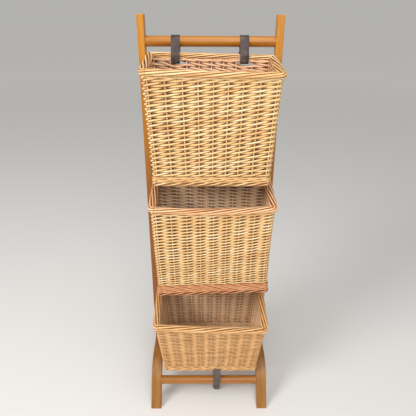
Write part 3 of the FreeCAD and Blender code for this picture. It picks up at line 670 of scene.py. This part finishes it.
# bands of three rods, low on the wall and under the rim
wales = {
    "low": {"depth": 0.0062, "sway": 0.0034, "rise": 0.0018, "radius": 0.0028, "start": 0,
            "shift": 1.37},
    "top": {"depth": 0.0062, "sway": 0.003, "rise": 0.0018, "radius": 0.0026, "start": 0.4,
            "shift": 1.3, "drop": 0.0012, "step": 0.005},
    "steps": 6, "wobble": 0.1, "wobbleScale": 1.3, "tones": (0.42, 0.6),
}


def wale(pile, outline, up, kind, row, part=None):
    # three rods, each before two stakes and behind one
    offset = kind["start"] + row * kind["shift"]
    for rod in range(3):
        spots, radii, depths = [], [], []
        for step in range(outline.plan.total * wales["steps"] + 1):
            t = step / wales["steps"]
            turn = 2 * math.pi * (t + offset - rod) / 3
            place, out = outline.spot(t)
            lift = kind["rise"] * math.sin(turn)
            if part:
                lift += part["by"] * math.exp(-((place.x - part["x"]) / part["half"]) ** 2)
            inward = kind["depth"] - kind["sway"] * math.cos(turn)
            spots.append((place - out * inward + up * lift, out))
            wobble = noise.noise(Vector((t * wales["wobbleScale"], rod, offset)))
            radii.append(kind["radius"] * (1 + wales["wobble"] * wobble))
            depths.append(-math.cos(turn))
        pile.lay(spots, radii, pile.random.uniform(*wales["tones"]), depths)


def slotShift(basket, t, rod, climbed, place):
    # rods part above and below the open row that a strap passes through
    shift = 0.0
    for slot in basket.slots:
        turns = round((t - slot["t"]) / basket.plan.total)
        centre = slot["t"] + turns * basket.plan.total
        if abs(t - centre) > weave["slotBays"]:
            continue
        middle = climbed(centre - rod) * slot["scale"]
        gap = middle - slot["height"]
        ease = math.exp(-((place.x - slot["x"]) / weave["slotHalf"]) ** 2)
        fade = math.exp(-abs(gap) / weave["slotReach"])
        shift += math.copysign(weave["slotPart"], gap) * ease * fade
    return shift


# the wall's rods, one begun at each stake, and its stakes; a noise is its size and its scale
sideRods = {
    "start": -0.5, "spare": 6, "past": 0.004, "clear": 0.0002, "thickness": (0.94, 1.06),
    "phase": 0.05, "lead": 0.02, "slotSearch": 400, "heightNoise": (0.0007, 38),
    "inwardNoise": (0.0005, 55), "inwardShift": (9, 0, 0), "radiusNoise": (0.05, 30), "tone": 0.5,
}
sideStakes = {"steps": 16, "under": -0.014, "over": 0.026, "leanNoise": (0.02, 9), "apart": 3.1,
              "foot": 1.06, "taper": 0.12, "tone": 0.45}


def siding(name, basket):
    values = basket.values
    low = basket.baseOutline(basket.sideTop, weave["proud"])
    high = basket.rimOutline(-weave["border"], weave["overhang"])
    total, steps = basket.plan.total, values["steps"]
    first, last = values["climb"]
    meanHeight = (high.spot(0)[0] - low.spot(0)[0]).length
    bays = meanHeight / ((first + last) / 2)

    def climbed(k):
        return first * k + (last - first) / (2 * bays) * k * k

    def spot(t, height, inward):
        bottom, out = low.spot(t)
        top, topOut = high.spot(t)
        share = height / (top - bottom).length
        way = out.lerp(topOut, share)
        return bottom.lerp(top, share) - way * inward, way

    basket.slots = []
    backStart = sum(len(row) for row in basket.plan.shares[:2])
    backBays = len(basket.plan.shares[2]) - 1
    for x in weave["slotPlaces"]:
        t = min((backStart + backBays * step / sideRods["slotSearch"]
                 for step in range(sideRods["slotSearch"] + 1)),
                key=lambda t: abs(high.spot(t)[0].x - x))
        wallHeight = (high.spot(t)[0] - low.spot(t)[0]).length
        basket.slots.append({"x": x, "t": t, "scale": wallHeight / meanHeight,
                             "height": wallHeight - weave["slotDrop"] + weave["border"]})

    pile = RodPile(name, basket, values["seed"])
    radius, sway = values["rod"], values["sway"]
    middle = radius + sway + sideRods["clear"]
    for rod in range(total):
        thick = radius * pile.random.uniform(*sideRods["thickness"])
        phase = pile.random.uniform(-sideRods["phase"], sideRods["phase"]) - sideRods["lead"]
        spots, radii, depths = [], [], []
        for step in range(int(sideRods["start"] * steps), int((bays + sideRods["spare"]) * steps)):
            k = step / steps
            t = rod + k
            bottom, out = low.spot(t)
            top, topOut = high.spot(t)
            wallHeight = (top - bottom).length
            height = climbed(k) * wallHeight / meanHeight
            if height > wallHeight + sideRods["past"]:
                break
            share = height / wallHeight
            place = bottom.lerp(top, share)
            across = (place.x - basket.base.back.x) / basket.rimHalf
            swelling = math.sin(math.pi * min(max(share, 0), 1))
            height += values["lift"] * ((across + 1) / 2) ** 2 * swelling
            height += slotShift(basket, t, rod, climbed, place)
            size, scale = sideRods["heightNoise"]
            height += size * noise.noise(place * scale)
            wave = math.cos(math.pi * (k + phase))
            flat = 1 - values["backSway"] * max(out.y, 0)
            size, scale = sideRods["inwardNoise"]
            wander = noise.noise(place * scale + Vector(sideRods["inwardShift"]))
            spots.append(spot(t, height, middle + sway * flat * wave + size * wander))
            spread = (first + (last - first) * k / bays) / ((first + last) / 2)
            size, scale = sideRods["radiusNoise"]
            radii.append(thick * spread * (1 + size * noise.noise(place * scale)))
            depths.append(wave)
        pile.lay(spots, radii, sideRods["tone"], depths)
    for stake in range(total):
        spots, radii = [], []
        bottom = low.spot(stake)[0]
        wallHeight = (high.spot(stake)[0] - bottom).length
        for step in range(sideStakes["steps"] + 1):
            share = step / sideStakes["steps"]
            height = sideStakes["under"] + (wallHeight + sideStakes["over"]) * share
            size, scale = sideStakes["leanNoise"]
            lean = size * noise.noise(Vector((height * scale, stake * sideStakes["apart"], 0)))
            spots.append(spot(stake + lean, height, middle))
            radii.append(values["stake"] * (sideStakes["foot"] - sideStakes["taper"] * share))
        pile.lay(spots, radii, sideStakes["tone"])
    for row in range(values["topWales"]):
        level = -weave["border"] - wales["top"]["drop"] - wales["top"]["step"] * row
        topRow = basket.rimOutline(level, weave["overhang"])
        wale(pile, topRow, basket.rim.up, wales["top"], row)
    return pile.woven(willow[values["willow"]])


def waling(name, basket, part):
    values = basket.values
    pile = RodPile(name, basket, values["seed"] + 1)
    for row in range(values["wales"]):
        w = weave["footBorder"] + weave["waleLift"] + row * weave["waleStep"]
        push = part if row < 2 else None
        wale(pile, basket.baseOutline(w, 0), basket.base.up, wales["low"], row, push)
    return pile.woven(willow[values["feet"]])


def border(name, basket):
    values = basket.values
    pile = RodPile(name, basket, values["seed"] + 2)
    outline = basket.rimOutline(-weave["border"] / 2, 0)
    half = (weave["borderDeep"] / 2, weave["border"] / 2)
    rope(pile, outline, basket.rim.up, half, ropes["rim"], ropes["rim"]["turns"])
    return pile.woven(willow[values["rims"]])


def footBorder(name, basket):
    values = basket.values
    pile = RodPile(name, basket, values["seed"] + 3)
    outline = Outline(basket.base, basket.baseHalf, 0, basket.base.length, weave["footBorder"] / 2,
                      weave["baseCorner"], basket.plan)
    half = (weave["footBorderDeep"] / 2, weave["footBorder"] / 2)
    rope(pile, outline, basket.base.up, half, ropes["foot"],
         basket.plan.total / ropes["foot"]["bays"])
    return pile.woven(willow[values["feet"]])


# the floor's sticks, tucked under the foot's rope, and the rods across them
floorRods = {
    "sticks": 12, "tuck": 0.003, "stickSteps": 8, "stickRadius": 0.0024, "stickTone": 0.4,
    "radius": 0.00235, "pitch": 2.12, "steps": 6, "sway": 0.0022, "drift": (0.0004, 60),
    "tone": 0.45,
}


def floorWeave(name, basket, keepOut):
    # sticks from front to back, and rods woven across them
    values = basket.values
    pile = RodPile(name, basket, values["seed"] + 4)
    below = basket.base.up * -1
    inset = weave["footBorderDeep"] - floorRods["tuck"]
    halfWidth = basket.baseHalf - inset
    low, high = inset, basket.base.length - inset
    level = weave["footBorder"] - weave["floor"] / 2
    sticks = floorRods["sticks"]
    shares = [step / floorRods["stickSteps"] for step in range(floorRods["stickSteps"] + 1)]
    for stick in range(sticks):
        u = halfWidth * (2 * (stick + 0.5) / sticks - 1)
        spots = [(basket.base.point(u, low + (high - low) * share, level), below)
                 for share in shares]
        pile.lay(spots, [floorRods["stickRadius"]] * len(spots), floorRods["stickTone"])
    rows = int((high - low) / (floorRods["radius"] * floorRods["pitch"]))
    size, scale = floorRods["drift"]
    for row in range(rows):
        v = low + (high - low) * (row + 0.5) / rows
        spots = []
        count = sticks * floorRods["steps"]
        for step in range(count + 1):
            share = step / count
            u = halfWidth * (2 * share - 1)
            wave = math.cos(math.pi * (share * sticks - 0.5 + row))
            push = 0.0
            if keepOut:
                ease = math.exp(-((basket.base.back.x + u - keepOut["x"]) / keepOut["half"]) ** 2)
                near = math.exp(-(high - v) / keepOut["reach"])
                push = keepOut["by"] * ease * near
            drift = size * noise.noise(Vector((u * scale, row, 0)))
            spots.append((basket.base.point(u, v - push + drift,
                                            level + floorRods["sway"] * wave), below))
        pile.lay(spots, [floorRods["radius"]] * len(spots), floorRods["tone"])
    return pile.woven(willow[values["willow"]])


# the tie strap's loop, which the bottom basket's lowest rods make way for
tie = {"x": 0.029, "half": 0.019, "by": 0.005, "reach": 0.02}

for key, values in baskets.items():
    basket = Basket(values)
    node = key + "_basket_"
    part = tie if key == "bottom" else None
    made = {
        "siding": siding(node + "side_weave", basket),
        "waling": waling(node + "waling_rods", basket, part),
        "border": border(node + "border_rods", basket),
        "foot_border": footBorder(node + "foot_border_rods", basket),
        "base": floorWeave(node + "floor_weave", basket, part),
    }
    for ending, piece in made.items():
        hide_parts(node + ending)
        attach(piece, values["body"])
    print("stage:", key, "basket woven,",
          sum(len(piece.data.polygons) for piece in made.values()), "faces")


# studio

studio = {
    "floor": seen(224, 222, 218),
    "far": seen(250, 248, 244),
    "distances": (1.5, 9.0),
    "radius": 80,
    "rough": 0.9,
    "aim": (0, 0, 0.65),
    "back": seen(179, 178, 175),
    "sky": 0.47,
    "key": {"place": (-2.7, -2.3, 2.8), "size": 1.8, "power": 104.0},
    "fill": {"place": (0.25, -1.9, 1.85), "size": 1.0, "power": 15.0},
    "top": {"place": (0.2, -0.9, 3.2), "size": 1.6, "power": 24.0},
}


def stageFloor(values):
    sheet = bmesh.new()
    bmesh.ops.create_circle(sheet, cap_ends=True, segments=96, radius=values["radius"])
    mesh = bpy.data.meshes.new("stage_floor")
    sheet.to_mesh(mesh)
    sheet.free()
    net = Net(bpy.data.materials.new("stage_floor"))
    away = net.add("ShaderNodeVectorMath", {"operation": "LENGTH"}, {0: net.place()}, "Value")
    tint = net.mixed(net.ranged(away, *values["distances"]), values["floor"], values["far"])
    mesh.materials.append(net.finish({"Base Color": tint, "Roughness": values["rough"]}))
    plane = bpy.data.objects.new("stage_floor", mesh)
    bpy.context.scene.collection.objects.link(plane)


def stageWorld(values):
    world = bpy.data.worlds.new("studio")
    bpy.context.scene.world = world
    net = Net(world)
    rays = [net.add("ShaderNodeLightPath", {}, {}, kind)
            for kind in ("Is Camera Ray", "Is Glossy Ray", "Is Transmission Ray")]
    plain = net.add("ShaderNodeBackground", {}, {"Color": (1, 1, 1, 1), "Strength": values["sky"]})
    backdrop = net.add("ShaderNodeBackground", {}, {"Color": values["back"]})
    chosen = net.add("ShaderNodeMixShader", {}, {0: rays[0] + rays[1] + rays[2], 1: plain,
                                                 2: backdrop})
    net.add("ShaderNodeOutputWorld", {}, {"Surface": chosen})


def lamp(name, values, target):
    light = bpy.data.lights.new(name, "AREA")
    light.shape = "DISK"
    light.size = values["size"]
    light.energy = values["power"]
    holder = bpy.data.objects.new(name, light)
    holder.location = values["place"]
    aim = Vector(target) - holder.location
    holder.rotation_euler = aim.to_track_quat("-Z", "Y").to_euler()
    bpy.context.scene.collection.objects.link(holder)


stageFloor(studio)
stageWorld(studio)
for name in ("key", "fill", "top"):
    lamp(name + "_lamp", studio[name], studio["aim"])
print("stage: floor and lights set")
